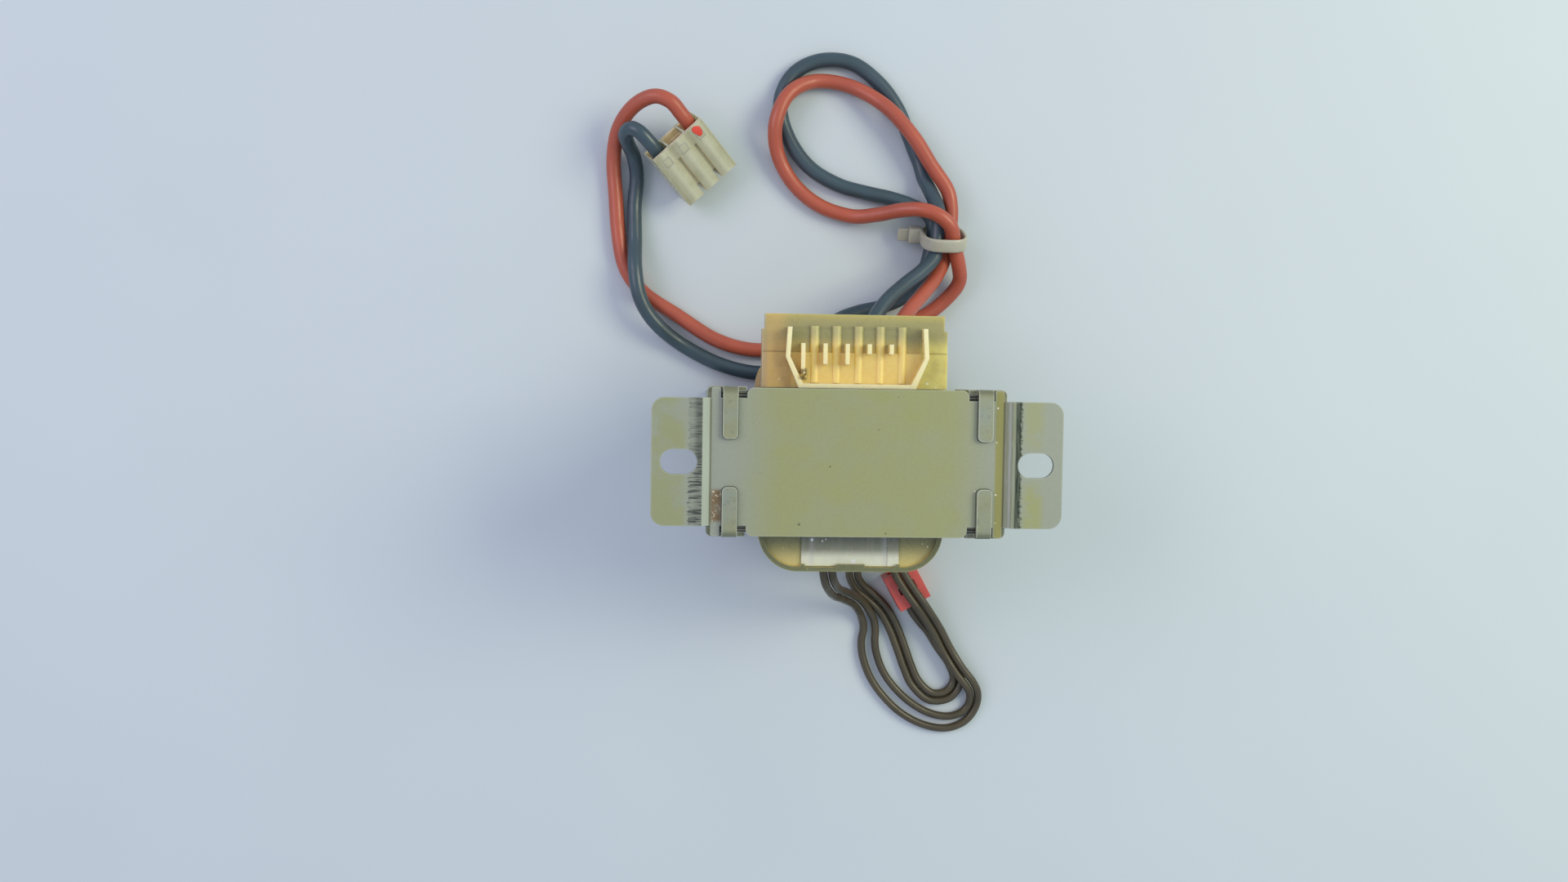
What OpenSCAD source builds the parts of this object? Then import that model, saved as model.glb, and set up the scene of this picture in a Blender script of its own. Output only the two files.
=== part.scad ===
// Small mains transformer on a clinched channel bracket, standing on the back of the bracket.
// The mounting feet point up, +X runs from foot to foot and +Y points to the terminal block.
// Lengths are in millimetres, and z = 0 is the surface that the bracket stands on.

/* [Core] */
// Width of each outer limb of a lamination
limb_w = 8; // [7.5:0.1:8.5]
// Width of the middle limb
middle_limb_w = 16; // [15:0.1:16.5]
// Width of each winding window
window_w = 8; // [7.9:0.1:8.4]
// Height of the winding windows
window_h = 24; // [23.6:0.1:25]
// Height of the yoke at each end of the core
yoke_h = 8; // [7:0.1:8.5]
// Thickness of one interleaved pack of laminations
pack_t = 2.9; // [2.7:0.05:3]
// Number of packs in the stack
pack_count = 8; // [8]

/* [Channel bracket] */
// Thickness of the bracket's sheet
sheet_t = 0.8; // [0.7:0.05:1]
// Room between the core and each leg of the bracket
side_gap = 0.15; // [0.1:0.05:0.3]
// Length of the wings that wrap onto the front and rear of the core
wing_l = 6.5; // [5:0.1:7.5]
// Height of the wings
wing_h = 12; // [8:0.5:20]
// Width of the four clinched tabs
tab_w = 2.5; // [2:0.1:3]
// Distance of each tab's middle from the middle of the core
tab_x = 21.1; // [21:0.1:21.5]
// Reach of the two rear tabs over the mounting plate
rear_tab_l = 8.6; // [5:0.1:10]
// Reach of the two front tabs over the mounting plate
front_tab_l = 8.3; // [5:0.1:10]

/* [Mounting plate] */
// Thickness of the plate's sheet
plate_t = 1; // [0.8:0.1:1.2]
// Length of the flat middle between its two creases
plate_l = 48.5; // [48:0.1:49]
// Width of the flat middle
plate_w = 24.5; // [24:0.1:25]
// Width of each notch that a tab passes through
notch_w = 4.3; // [4:0.1:4.6]
// Depth of each notch
notch_depth = 1.75; // [1.5:0.05:2]
// Tip to tip length over both feet
foot_span = 68; // [66:0.5:72]
// Width of each foot
foot_w = 21; // [18:0.5:21.5]
// Step of the feet above the flat middle
foot_rise = 1.2; // [1:0.1:1.6]
// Length of the sloping step
joggle_run = 1.35; // [1:0.05:1.8]
// Radius of the outer corners of the feet
foot_corner_r = 2.2; // [1:0.1:4]
// Distance of each slot's middle from the tip of its foot
slot_edge = 4.5; // [4:0.1:6]
// Width of each slot
slot_w = 4.1; // [3:0.1:4.5]
// Length of each slot
slot_l = 6; // [5:0.1:7]

/* [Bobbin] */
// Thickness of the walls of the winding former
former_wall = 0.9; // [0.7:0.1:1.1]
// Room between the former and the middle limb
former_gap = 0.2; // [0.1:0.05:0.3]
// Thickness of the flanges
flange_t = 1.2; // [1:0.1:1.5]
// Room between the flanges and the outer limbs of the core
flange_gap = 0.3; // [0.2:0.05:0.5]
// Width of the flanges in front of and behind the core
flange_w = 31.8; // [31:0.1:33]
// Reach of the flanges beyond the front and rear of the core
flange_reach = 7.6; // [7.2:0.1:8]
// Radius of the flange corners
flange_corner_r = 6.8; // [4:0.1:7]
// Width of the rim along the edge of the front flange
rim_w = 0.8; // [0.6:0.1:1]
// Height of that rim
rim_h = 0.9; // [0.7:0.1:1.2]
// Width of the terminal block
block_w = 31.6; // [30:0.1:31.8]
// Reach of the terminal block beyond the rear of the core
block_reach = 13.2; // [12.8:0.1:14]
// Height of the terminal block above the flange
block_h = 2.7; // [2:0.1:4]
// Height of the pan wall above the block
pan_h = 2.3; // [1.5:0.1:3]
// Thickness of the pan wall
pan_t = 0.75; // [0.6:0.05:1]
// Spacing of the ribs and fins inside the pan
rib_pitch = 3.73; // [3.6:0.01:3.75]

/* [Coil] */
// Depth of wire over the former at the front and rear
coil_depth = 5.2; // [4.5:0.1:5.4]
// Thickness of the tape around each winding
tape_t = 0.3; // [0.2:0.05:0.4]

/* [Leads] */
// Diameter of the red and blue leads
lead_d = 2.8; // [2.4:0.1:2.8]
// Diameter of the brown leads
brown_d = 1.5; // [1.2:0.1:1.5]
// Width of the cable tie's band
tie_w = 2.5; // [2:0.1:3]
// Thickness of the cable tie's band
tie_t = 0.8; // [0.7:0.1:1]

/* [Connectors] */
// Spacing of the ways in the white plug
plug_step = 3.96; // [3.9:0.02:4]
// Length of the white plug
plug_l = 11.5; // [11:0.1:12]
// Thickness of the white plug
plug_h = 6.4; // [6:0.1:6.8]
// Spacing of the ways in the red socket
socket_step = 2.5; // [2.4:0.1:2.6]
// Length of the red socket
socket_l = 7.4; // [7:0.1:8]
// Thickness of the red socket
socket_h = 4.8; // [4.4:0.1:5]

/* [Hidden] */
$fn = 48;
cut = 1;

// Core
core_w = 2 * (limb_w + window_w) + middle_limb_w;
core_h = window_h + 2 * yoke_h;
stack = pack_t * pack_count;
core_z = sheet_t;
core_top = core_z + core_h;

// Bracket and plate
leg_x = core_w / 2 + side_gap;
bend_r = sheet_t + side_gap;
plate_top = core_top + plate_t;
foot_top = plate_top + foot_rise;
crease_x = plate_l / 2;
step_angle = atan(foot_rise / joggle_run);
crease_shift = plate_t * tan(step_angle / 2);
tab_bend_r = 0.3;
tab_corner_r = 0.8;
notch_shift = 0.55;
ear_x = tab_x - notch_shift + notch_w / 2;
centre_x = tab_x - notch_shift - notch_w / 2;
centre_corner_r = 1.2;
ear_corner_r = 0.4;
slot_spacing = foot_span - 2 * slot_edge;

// Bobbin
bobbin_room = 0.3;
bobbin_z = core_z + yoke_h;
bobbin_top = bobbin_z + window_h - bobbin_room;
former_x = middle_limb_w + 2 * (former_gap + former_wall);
former_y = stack + 2 * (former_gap + former_wall);
flange_y = stack + 2 * flange_reach;
window_flange_w = middle_limb_w + 2 * window_w - 2 * flange_gap;
divider_t = 1;
section_h = (bobbin_top - bobbin_z - 2 * flange_t - divider_t) / 2;
lower_z = bobbin_z + flange_t;
divider_z = lower_z + section_h;
upper_z = divider_z + divider_t;
flange_z = bobbin_top - flange_t;
lug_x = 8.2;
lug_w = 0.7;
lug_depth = 0.5;
centre_lug_w = 5;

// Terminal block
block_clear = 0.7;
block_top = bobbin_top + block_h;
block_y0 = stack / 2 + block_clear;
block_y1 = stack / 2 + block_reach;
lip_depth = 2.6;
lip_inset = 0.5;
lip_drop = 0.4;
shelf_depth = 6;
shelf_drop = 0.3;
pan_top = block_top + pan_h;
pan_x = 0.2;
pan_base_half = 9.9;
pan_kink_half = 12.1;
pan_mouth_half = 11.8;
pan_kink_run = 5.2;
pan_mouth_run = 10.2;
rib_r = 0.9;
rib_sink = 0.3;
rib_first_x = -6.9;
rib_start = 0.9;
rib_run = 9.6;
fin_t = 0.7;
fin_first_x = -8.95;
fin_end = 7.5;
fin_drop = 0.4;
fin_lengths = [5.1, 3.5, 3.5, 1.7, 1.7];

// Windings
coil_inset = 0.6;
coil_x = window_flange_w / 2 - coil_inset - tape_t;
coil_y = former_y / 2 + coil_depth;
coil_corner_r = 4;
tape_x = coil_x + tape_t;
tape_y = coil_y + tape_t;

// Insulating film on the front flange
film_t = 0.25;
film_w = 16.9;
film_edge_w = 2;
film_edge_t = 0.15;
film_end_gap = 0.1;
lug_room = 0.1;
lug_gap = film_t + film_edge_t + lug_room;

// Cable tie
tie_at = [20.2, 41.3];
tie_tilt = 24;
tie_inner = [7.4, 8.4];
tie_corner_r = 1.8;
tie_head = [2.4, 3, 2.6];
tie_head_z = -3.6;
tie_tail_l = 2;

// White plug
plug_ways = 3;
plug_used = [-1, 1];
plug_at = [-28.6, 55.2];
plug_yaw = -47;
plug_pitch = 30;
plug_trim = 0.1;
plug_w = plug_ways * plug_step - plug_trim;
plug_cavity = [3.1, 3.8];
plug_mouth = [3.6, 4.5];
plug_mouth_l = 1.2;
plug_z = plug_l / 2 * sin(plug_pitch) + plug_h / 2 * cos(plug_pitch);
plug_wire_l = 2.5;
plug_contact_w = 2.4;
plug_barrel_l = 2.6;
plug_nose_l = 2.2;
plug_groove = [0.8, 0.6];
plug_window = [1.7, 1.5];
plug_window_at = 2.1;
plug_slot = [3.2, 1.4, 0.6];

// Red socket
socket_ways = 2;
socket_used = [-0.5, 0.5];
socket_at = [14.6, -26.3];
socket_yaw = 119;
socket_wall = 0.8;
socket_w = socket_ways * socket_step + 2 * socket_wall;
socket_cavity = [1.75, 2.4];
socket_mouth = [2.15, 2.9];
socket_mouth_l = 1;
socket_wire_l = 2;
socket_contact_w = 1.4;
socket_barrel_l = 2;
socket_nose_l = 1.6;
socket_slot = [2.6, 1, 0.5];
socket_window = [1.8, 1];

// Places in the connectors, as distances along, across and above their middles
function turned(p, yaw, pitch) =
    let (x = p[0] * cos(pitch) + p[2] * sin(pitch), z = p[2] * cos(pitch) - p[0] * sin(pitch))
    [x * cos(yaw) - p[1] * sin(yaw), x * sin(yaw) + p[1] * cos(yaw), z];
function in_plug(p) = [plug_at[0], plug_at[1], plug_z] + turned(p, plug_yaw, plug_pitch);
function in_socket(p) = [socket_at[0], socket_at[1], socket_h / 2] + turned(p, socket_yaw, 0);

// Routes of the leads, from the coil to their connectors
straight_l = 2;
plug_lead_in = [-plug_l / 2 - straight_l, -plug_l / 2, -plug_l / 2 + plug_wire_l];
socket_lead_in = [-socket_l / 2 - straight_l, -socket_l / 2, -socket_l / 2 + socket_wire_l];
lead_z = 17;
red_start_x = 9.5;
blue_start_x = 4.5;
pair_start_x = -3;
pair_z = 25;
lead_out = 2.8;
pair_out = 2.4;
red_route = concat(
    [[red_start_x, tape_y, lead_z], [red_start_x, tape_y + lead_out, lead_z]],
    [[10.3, 24, 16], [12.6, 27, 13], [15.6, 30.2, 9.2], [18.6, 33.6, 5.8], [20.6, 37.2, 3.7],
     [21.6, 41.2, 3.3], [21.8, 44.6, 3.8], [21.7, 47.8, 4.1], [20.8, 51, 4.4], [17.6, 55.5, 4.5],
     [13.9, 61, 4.5], [8.6, 66.6, 3.9], [1.8, 70.6, 1.9], [-5, 71.2, 2.1], [-10, 68.2, 4.3],
     [-12.4, 62.6, 4.5], [-11.8, 57, 2.6], [-8.6, 51.6, 1.6], [-3.6, 47.6, 1.55], [2.6, 45.6, 2.2],
     [7.4, 45.7, 4.4], [11.4, 46.3, 6.9], [15, 46.3, 8.8], [18.4, 45.2, 9.5], [21, 43, 8.8],
     [22, 39.8, 6.7], [23.2, 36.6, 5.2], [23.8, 33.2, 3.1], [21.4, 29.8, 1.7], [17.2, 26.6, 1.55],
     [11, 24.4, 1.55], [3, 22.6, 1.55], [-4.6, 21.8, 1.55], [-14, 19.4, 1.55], [-22.6, 21, 1.55],
     [-31, 26, 1.55], [-37.2, 30, 1.55], [-40.8, 34.8, 1.55], [-42.2, 41.4, 1.55], [-42.8, 48.6, 1.55],
     [-43.2, 55.4, 2.2], [-42.2, 60.6, 4.6], [-39.4, 64.2, 7.6], [-35.6, 65.8, 10], [-32.4, 64.9, 10.6]],
    [for (along = plug_lead_in) in_plug([along, plug_step, 0])]);
blue_route = concat(
    [[blue_start_x, tape_y, lead_z], [blue_start_x, tape_y + lead_out, lead_z]],
    [[5.3, 24.4, 16.6], [8, 28.4, 14.2], [11.8, 31.8, 11.2], [15.4, 34.6, 8.8], [18.1, 37.4, 7],
     [18.7, 40.6, 6.45], [18.9, 43.8, 6.4], [18.9, 46.8, 5.9], [17.9, 50, 4], [16.7, 53.2, 2.1],
     [15.9, 56, 1.6], [14.8, 58.6, 1.55], [13.4, 62, 1.55], [11.2, 66.8, 1.55], [7.6, 71.4, 1.55],
     [2.4, 75, 1.55], [-3.6, 75.4, 1.55], [-8.6, 73, 1.55], [-11.2, 68.6, 1.55], [-11, 63.6, 1.55],
     [-8.6, 58.4, 1.55], [-5, 54.4, 1.55], [0.2, 51.6, 1.55], [5.6, 50.2, 1.7], [10.4, 49.2, 2],
     [14.4, 47.8, 2.6], [17.6, 46.1, 3.1], [18.7, 42.7, 3.4], [18.1, 38.8, 2.6], [16.9, 34.8, 1.8],
     [14, 30.8, 1.55], [9.4, 28.4, 1.6], [4, 27, 2.6], [-0.4, 25, 4.4], [-4.6, 21, 4.7],
     [-8.6, 17.4, 3.2], [-14, 15, 1.55], [-22, 16.4, 1.55], [-29.8, 20.2, 1.7], [-35, 24.4, 3.8],
     [-37.8, 29, 4.8], [-38.8, 34.4, 4.6], [-39, 40, 2.6], [-39.2, 46.6, 1.55], [-38.8, 52, 1.9],
     [-39.3, 55.6, 3.3], [-40.4, 57.9, 5.4], [-40.7, 59.2, 7.4], [-39.7, 59.9, 9.2], [-38, 59.2, 10.1]],
    [for (along = plug_lead_in) in_plug([along, -plug_step, 0])]);

// Middle line of the brown pair, with half the distance between the two leads as a fourth number
pair_route = concat(
    [[pair_start_x, -tape_y, pair_z, 0.8], [pair_start_x, -tape_y - pair_out, pair_z, 0.8]],
    [[-2.4, -22.8, 23.8, 0.8], [-1, -24.8, 20, 0.8], [0.8, -26.2, 14.6, 0.8], [2.8, -27.6, 9.4, 0.8],
     [4.8, -29.2, 5, 0.8], [6.4, -31.2, 2.2, 0.9], [7.5, -33.4, 1.1, 1.1], [7.8, -35.4, 0.88, 1.2],
     [7.6, -37.8, 0.88, 1.35], [8, -40.6, 0.88, 1.4], [9.4, -44.2, 0.88, 1.4], [11.8, -47.6, 0.88, 1.4],
     [15.2, -50.8, 0.88, 1.4], [19.2, -53, 0.88, 1.3], [23.2, -53.8, 0.88, 1.2], [26.4, -53, 0.88, 1],
     [28.4, -51, 0.88, 0.8], [28.9, -48.4, 1.4, 0.8], [27.9, -46, 2.3, 0.8], [25.4, -42.8, 2.6, 0.8],
     [23, -39, 2.6, 0.8], [20.8, -35, 3.4, 0.8], [17.8, -30.6, 5.4, 0.8], [15, -26.8, 5.95, 0.8],
     [12.8, -23.4, 6.3, 0.8], [11.6, -20.5, 6.4, 0.8], [8.4, -19.1, 6, 0.8], [5.4, -20.4, 5.2, 0.8],
     [4.1, -23.4, 3.6, 0.8], [5.3, -26.4, 2, 0.8], [8, -28.8, 1.1, 0.8], [10.6, -31.4, 0.88, 0.8],
     [12.6, -35, 0.88, 0.8], [14.2, -39, 0.88, 0.8], [15.6, -42.8, 0.88, 0.8], [17.2, -46, 0.88, 0.8],
     [20.2, -48.6, 0.88, 0.8], [23.8, -48.2, 0.88, 0.8], [25.6, -45.2, 0.88, 0.8], [24.4, -41.6, 0.88, 0.8],
     [22, -38.2, 0.88, 0.8], [20.2, -35.2, 1, 0.9], [18.7, -33.2, 1.7, 1.1]]);

// Directions along a route, and the ring of points around each place on it
tube_sides = 8;
function unit(v) = v / norm(v);
function heading(r, i) = unit(r[min(i + 1, len(r) - 1)] - r[max(i - 1, 0)]);
function sides_along(r, i, last) = i == len(r) ? [] :
    let (t = heading(r, i), s = unit(last - (last * t) * t)) concat([s], sides_along(r, i + 1, s));
function ring(p, t, s, radius) = [for (k = [0 : tube_sides - 1])
    let (a = 360 * (k + 0.5) / tube_sides) p + radius * (cos(a) * s + sin(a) * cross(t, s))];

// One lead of the brown pair, to the right of the middle line for side = 1
function pair_points() = [for (p = pair_route) [p[0], p[1], p[2]]];
function beside(side) = concat(
    [for (i = [0 : len(pair_route) - 1])
        let (t = i < 2 ? [0, -1, 0] : heading(pair_points(), i), right = unit([t[1], -t[0], 0]))
        pair_points()[i] + side * pair_route[i][3] * right],
    [for (along = socket_lead_in) in_socket([along, -side * socket_step / 2, 0])]);

module tube(route, d) {
    n = len(route);
    sides = sides_along(route, 0, unit(cross(heading(route, 0), [0, 0, 1])));
    points = [for (i = [0 : n - 1]) each ring(route[i], heading(route, i), sides[i], d / 2)];
    walls = [for (i = [0 : n - 2], k = [0 : tube_sides - 1])
        let (a = i * tube_sides + k, b = i * tube_sides + (k + 1) % tube_sides)
        [a, a + tube_sides, b + tube_sides, b]];
    caps = [[for (k = [0 : tube_sides - 1]) k],
            [for (k = [tube_sides - 1 : -1 : 0]) (n - 1) * tube_sides + k]];
    polyhedron(points, concat(walls, caps));
}

// Plain rounded shapes
module rounded_rect(w, h, r) {
    square([w - 2 * r, h], center = true);
    square([w, h - 2 * r], center = true);
    for (x = [-1, 1], y = [-1, 1])
        translate([x * (w / 2 - r), y * (h / 2 - r)]) circle(r);
}

module corner_waste(r) {
    difference() {
        square(r + cut);
        circle(r);
    }
}

// Laminations, drawn standing on their yoke
module e_outline() {
    difference() {
        translate([-core_w / 2, 0]) square([core_w, yoke_h + window_h]);
        for (side = [-1, 1])
            translate([side * (middle_limb_w + window_w) / 2 - window_w / 2, yoke_h])
                square([window_w, window_h + cut]);
    }
}

module i_outline() {
    translate([-core_w / 2, 0]) square([core_w, yoke_h]);
}

module packs(first) {
    for (i = [first : 2 : pack_count - 1])
        translate([0, (i + 1) * pack_t - stack / 2, core_z])
            rotate([90, 0, 0]) linear_extrude(pack_t) children();
}

module e_laminations_upright() {
    color("#55585a") packs(0) e_outline();
}

module e_laminations_inverted() {
    color("#55585a") packs(1) translate([0, core_h]) mirror([0, 1]) e_outline();
}

module i_laminations_top() {
    color("#4d5052") packs(0) translate([0, core_h - yoke_h]) i_outline();
}

module i_laminations_bottom() {
    color("#4d5052") packs(1) i_outline();
}

// Channel bracket
module channel_section() {
    half = leg_x + sheet_t;
    difference() {
        translate([-half, 0]) square([2 * half, core_top]);
        translate([-leg_x, sheet_t]) square([2 * leg_x, core_top]);
        for (side = [0, 1])
            mirror([side, 0]) translate([half - bend_r, bend_r]) mirror([0, 1]) corner_waste(bend_r);
    }
}

module wing_section() {
    half_y = stack / 2 + sheet_t;
    end_x = leg_x + sheet_t - wing_l;
    difference() {
        translate([end_x, -half_y]) square([wing_l, 2 * half_y]);
        translate([end_x - cut, -stack / 2]) square([wing_l - sheet_t + cut, stack]);
        for (side = [0, 1])
            mirror([0, side]) translate([leg_x + sheet_t - bend_r, half_y - bend_r]) corner_waste(bend_r);
    }
}

module tab_profile() {
    bend_y = stack / 2 - tab_bend_r;
    bend_z = plate_top - tab_bend_r;
    translate([stack / 2, core_top - cut]) square([sheet_t, bend_z - core_top + cut]);
    translate([bend_y, bend_z]) intersection() {
        difference() {
            circle(tab_bend_r + sheet_t);
            circle(tab_bend_r);
        }
        square(tab_bend_r + sheet_t);
    }
}

module tab(reach) {
    tip_y = stack / 2 + sheet_t - reach;
    round_y = tip_y + tab_corner_r;
    translate([-tab_w / 2, 0, 0]) rotate([90, 0, 90]) linear_extrude(tab_w) tab_profile();
    translate([0, 0, plate_top]) linear_extrude(sheet_t) {
        translate([-tab_w / 2, round_y]) square([tab_w, stack / 2 - tab_bend_r - round_y]);
        translate([tab_corner_r - tab_w / 2, tip_y]) square([tab_w - 2 * tab_corner_r, 2 * tab_corner_r]);
        for (side = [-1, 1])
            translate([side * (tab_w / 2 - tab_corner_r), round_y]) circle(tab_corner_r);
    }
}

module channel_bracket() {
    color("#a9ada4") {
        translate([0, stack / 2, 0]) rotate([90, 0, 0]) linear_extrude(stack) channel_section();
        for (side = [0, 1])
            mirror([side, 0, 0]) {
                translate([0, 0, core_top - wing_h]) linear_extrude(wing_h) wing_section();
                translate([tab_x, 0, 0]) tab(rear_tab_l);
                translate([tab_x, 0, 0]) mirror([0, 1, 0]) tab(front_tab_l);
            }
    }
}

// Mounting plate
module plate_outline() {
    rounded_rect(2 * centre_x, plate_w, centre_corner_r);
    square([plate_l, plate_w - 2 * notch_depth], center = true);
    for (side = [-1, 1])
        translate([side * (ear_x + crease_x) / 2, 0])
            rounded_rect(crease_x - ear_x, plate_w, ear_corner_r);
}

module foot_profile() {
    outer_x = crease_x + joggle_run;
    polygon([[centre_x, core_top], [crease_x + crease_shift, core_top],
             [outer_x + crease_shift, foot_top - plate_t], [foot_span / 2, foot_top - plate_t],
             [foot_span / 2, foot_top], [outer_x, foot_top], [crease_x, plate_top], [centre_x, plate_top]]);
}

module foot() {
    difference() {
        translate([0, foot_w / 2, 0]) rotate([90, 0, 0]) linear_extrude(foot_w) foot_profile();
        translate([0, 0, core_top - cut]) linear_extrude(foot_rise + plate_t + 2 * cut) {
            for (side = [0, 1])
                mirror([0, side])
                    translate([foot_span / 2 - foot_corner_r, foot_w / 2 - foot_corner_r])
                        corner_waste(foot_corner_r);
        }
    }
}

module slot(depth) {
    linear_extrude(depth) square([slot_l - slot_w, slot_w], center = true);
    for (end = [-1, 1])
        translate([end * (slot_l - slot_w) / 2, 0, 0]) cylinder(d = slot_w, h = depth);
}

module mounting_plate() {
    color("#999c84") difference() {
        union() {
            translate([0, 0, core_top]) linear_extrude(plate_t) plate_outline();
            for (side = [0, 1])
                mirror([side, 0, 0]) foot();
        }
        for (side = [-1, 1])
            translate([side * slot_spacing / 2, 0, core_top - cut]) slot(foot_rise + plate_t + 2 * cut);
    }
}

// Bobbin with its terminal block
module flange_outline() {
    square([window_flange_w, stack + 2 * (block_clear + cut)], center = true);
    difference() {
        rounded_rect(flange_w, flange_y, flange_corner_r);
        square([flange_w + cut, stack + 2 * block_clear], center = true);
    }
}

module flange(z, t) {
    translate([0, 0, z]) linear_extrude(t) difference() {
        flange_outline();
        square([former_x - 2 * former_wall, former_y - 2 * former_wall], center = true);
    }
}

module former() {
    translate([0, 0, bobbin_z]) linear_extrude(bobbin_top - bobbin_z) difference() {
        square([former_x, former_y], center = true);
        square([former_x - 2 * former_wall, former_y - 2 * former_wall], center = true);
    }
}

module front_rim() {
    inner_r = flange_corner_r - rim_w;
    lug_reach = lug_depth + rim_w / 2;
    translate([0, 0, bobbin_top]) linear_extrude(rim_h) difference() {
        rounded_rect(flange_w, flange_y, flange_corner_r);
        rounded_rect(flange_w - 2 * rim_w, flange_y - 2 * rim_w, inner_r);
        translate([-flange_w / 2, -stack / 2 - block_clear]) square([flange_w, flange_y]);
    }
    translate([0, (rim_w - flange_y) / 2, bobbin_top + lug_gap]) linear_extrude(rim_h - lug_gap) {
        for (side = [-1, 1])
            translate([side * lug_x - lug_w / 2, 0]) square([lug_w, lug_reach]);
        translate([-centre_lug_w / 2, 0]) square([centre_lug_w, lug_reach]);
    }
}

module block_step(y0, y1, half_w, top) {
    translate([-half_w, y0, flange_z]) cube([2 * half_w, y1 - y0, top - flange_z]);
}

module pan_outline(inset) {
    mouth = pan_mouth_half - inset;
    kink = pan_kink_half - inset;
    base = pan_base_half - inset;
    polygon([[-base, inset], [base, inset], [kink, pan_kink_run], [mouth, pan_mouth_run],
             [-mouth, pan_mouth_run], [-kink, pan_kink_run]]);
}

module pan_wall() {
    translate([pan_x, block_y0, block_top - shelf_drop - lip_drop]) difference() {
        linear_extrude(pan_h + shelf_drop + lip_drop) pan_outline(0);
        translate([0, 0, -cut]) linear_extrude(pan_top) pan_outline(pan_t);
        translate([-pan_mouth_half + pan_t, pan_mouth_run - pan_t, -cut])
            cube([2 * (pan_mouth_half - pan_t), pan_t + cut, pan_top]);
    }
}

module pan_ribs() {
    for (i = [0 : 4])
        translate([rib_first_x + i * rib_pitch, block_y0 + rib_start, block_top - shelf_drop - rib_sink])
            rotate([-90, 0, 0]) cylinder(r = rib_r, h = rib_run);
}

module pan_fins() {
    for (i = [0 : 4])
        translate([fin_first_x + i * rib_pitch - fin_t / 2, block_y0 + fin_end - fin_lengths[i], bobbin_top])
            cube([fin_t, fin_lengths[i], pan_top - fin_drop - bobbin_top]);
}

module terminal_block() {
    shelf_y = block_y0 + shelf_depth;
    lip_y = block_y1 - lip_depth;
    block_step(block_y0, shelf_y, block_w / 2, block_top);
    block_step(shelf_y, lip_y, block_w / 2, block_top - shelf_drop);
    block_step(lip_y, block_y1, block_w / 2 - lip_inset, block_top - lip_drop);
    pan_wall();
    pan_ribs();
    pan_fins();
}

module bobbin() {
    color("#d2bd79") {
        former();
        flange(bobbin_z, flange_t);
        flange(divider_z, divider_t);
        flange(flange_z, flange_t);
        front_rim();
        terminal_block();
    }
}

// Windings and the tape around them
module winding(z) {
    translate([0, 0, z]) linear_extrude(section_h) difference() {
        rounded_rect(2 * coil_x, 2 * coil_y, coil_corner_r);
        square([former_x, former_y], center = true);
    }
}

module tape(z) {
    translate([0, 0, z]) linear_extrude(section_h) difference() {
        rounded_rect(2 * tape_x, 2 * tape_y, coil_corner_r + tape_t);
        rounded_rect(2 * coil_x, 2 * coil_y, coil_corner_r);
    }
}

module primary_winding() {
    color("#8a4a24") winding(lower_z);
}

module secondary_winding() {
    color("#9a5528") winding(upper_z);
}

module primary_tape() {
    color("#d8cf9a") tape(lower_z);
}

module secondary_tape() {
    color("#d8cf9a") tape(upper_z);
}

module insulation_film() {
    film_y0 = -flange_y / 2 + rim_w + film_end_gap;
    film_l = -stack / 2 - block_clear - film_y0;
    color("#d6d6c4") translate([-film_w / 2, film_y0, bobbin_top]) {
        cube([film_w, film_l, film_t]);
        for (x = [0, film_w - film_edge_w])
            translate([x, 0, 0]) cube([film_edge_w, film_l, film_t + film_edge_t]);
    }
}

// Leads
module red_lead() {
    color("#b5463c") tube(red_route, lead_d);
}

module blue_lead() {
    color("#3c5066") tube(blue_route, lead_d);
}

module brown_lead_outer() {
    color("#4a4234") tube(beside(1), brown_d);
}

module brown_lead_inner() {
    color("#4a4234") tube(beside(-1), brown_d);
}

module cable_tie() {
    outer = tie_inner + [2 * tie_t, 2 * tie_t];
    half_z = outer[1] / 2 * cos(tie_tilt) + tie_w / 2 * sin(tie_tilt);
    head_x = -outer[0] / 2 + tie_t / 2 - tie_head[0];
    color("#d4d6c8") translate([tie_at[0], tie_at[1], half_z]) rotate([tie_tilt, 0, 0]) {
        rotate([90, 0, 0]) linear_extrude(tie_w, center = true) difference() {
            rounded_rect(outer[0], outer[1], tie_corner_r + tie_t);
            rounded_rect(tie_inner[0], tie_inner[1], tie_corner_r);
        }
        translate([head_x, -tie_head[1] / 2, tie_head_z]) cube(tie_head);
        translate([head_x - tie_tail_l, -tie_w / 2, tie_head_z + (tie_head[2] - tie_t) / 2])
            cube([tie_tail_l + cut, tie_w, tie_t]);
    }
}

// Connectors, drawn with the mating end along +X and the ways along Y
module cavity(size, mouth, mouth_l, l) {
    translate([-l / 2 - cut, -size[0] / 2, -size[1] / 2]) cube([l + 2 * cut, size[0], size[1]]);
    translate([-l / 2 - cut, -mouth[0] / 2, -mouth[1] / 2]) cube([mouth_l + cut, mouth[0], mouth[1]]);
}

module contact(w, h, barrel_l, nose_l, wire_l, l) {
    translate([-l / 2 + wire_l, 0, 0]) rotate([0, 90, 0]) cylinder(d = w, h = barrel_l);
    translate([-l / 2 + wire_l + barrel_l, -w / 2, -h / 2])
        cube([l - wire_l - barrel_l - nose_l, w, h]);
}

module in_plug_place() {
    translate([plug_at[0], plug_at[1], plug_z]) rotate([0, plug_pitch, plug_yaw]) children();
}

module in_socket_place() {
    translate([socket_at[0], socket_at[1], socket_h / 2]) rotate([0, 0, socket_yaw]) children();
}

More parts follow.
